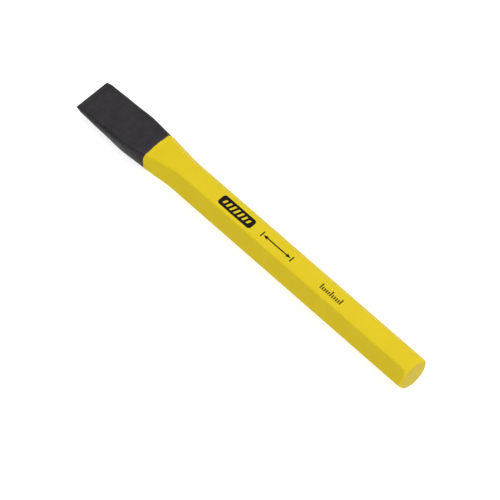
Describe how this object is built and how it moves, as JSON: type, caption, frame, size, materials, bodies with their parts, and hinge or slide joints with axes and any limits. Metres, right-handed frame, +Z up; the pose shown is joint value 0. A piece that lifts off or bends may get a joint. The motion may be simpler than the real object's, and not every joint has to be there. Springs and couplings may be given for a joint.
{
  "type": "cold chisel",
  "caption": "Hexagonal-shank flat cold chisel with a yellow enamelled shank and head and a black lacquered blade; it cuts metal when its head is struck.",
  "frame": {"origin": "under the middle of the tool, on the surface that it lies on", "axes": "+X along the tool from the cutting edge towards the struck head, +Y across the blade, +Z up out of the printed flat"},
  "size_m": [0.1714, 0.0176, 0.0131],
  "materials": {
    "forged_steel": "satin",
    "black_lacquer": "matte",
    "yellow_enamel": "satin",
    "black_ink": "satin"
  },
  "bodies": {
    "root": {"forged_steel_bar": "forged_steel", "black_blade_lacquer": "black_lacquer", "yellow_enamel_coat": "yellow_enamel", "printed_badge": "black_ink", "printed_width_end_1": "black_ink", "printed_width_arrow": "black_ink", "printed_width_end_2": "black_ink", "printed_scale_tick_01": "black_ink", "printed_scale_tick_02": "black_ink", "printed_scale_tick_03": "black_ink", "printed_scale_tick_04": "black_ink", "printed_scale_tick_05": "black_ink", "printed_scale_tick_06": "black_ink", "printed_scale_tick_07": "black_ink", "printed_scale_tick_08": "black_ink", "printed_scale_tick_09": "black_ink", "printed_scale_tick_10": "black_ink", "printed_scale_tick_11": "black_ink"}
  },
  "joints": []
}
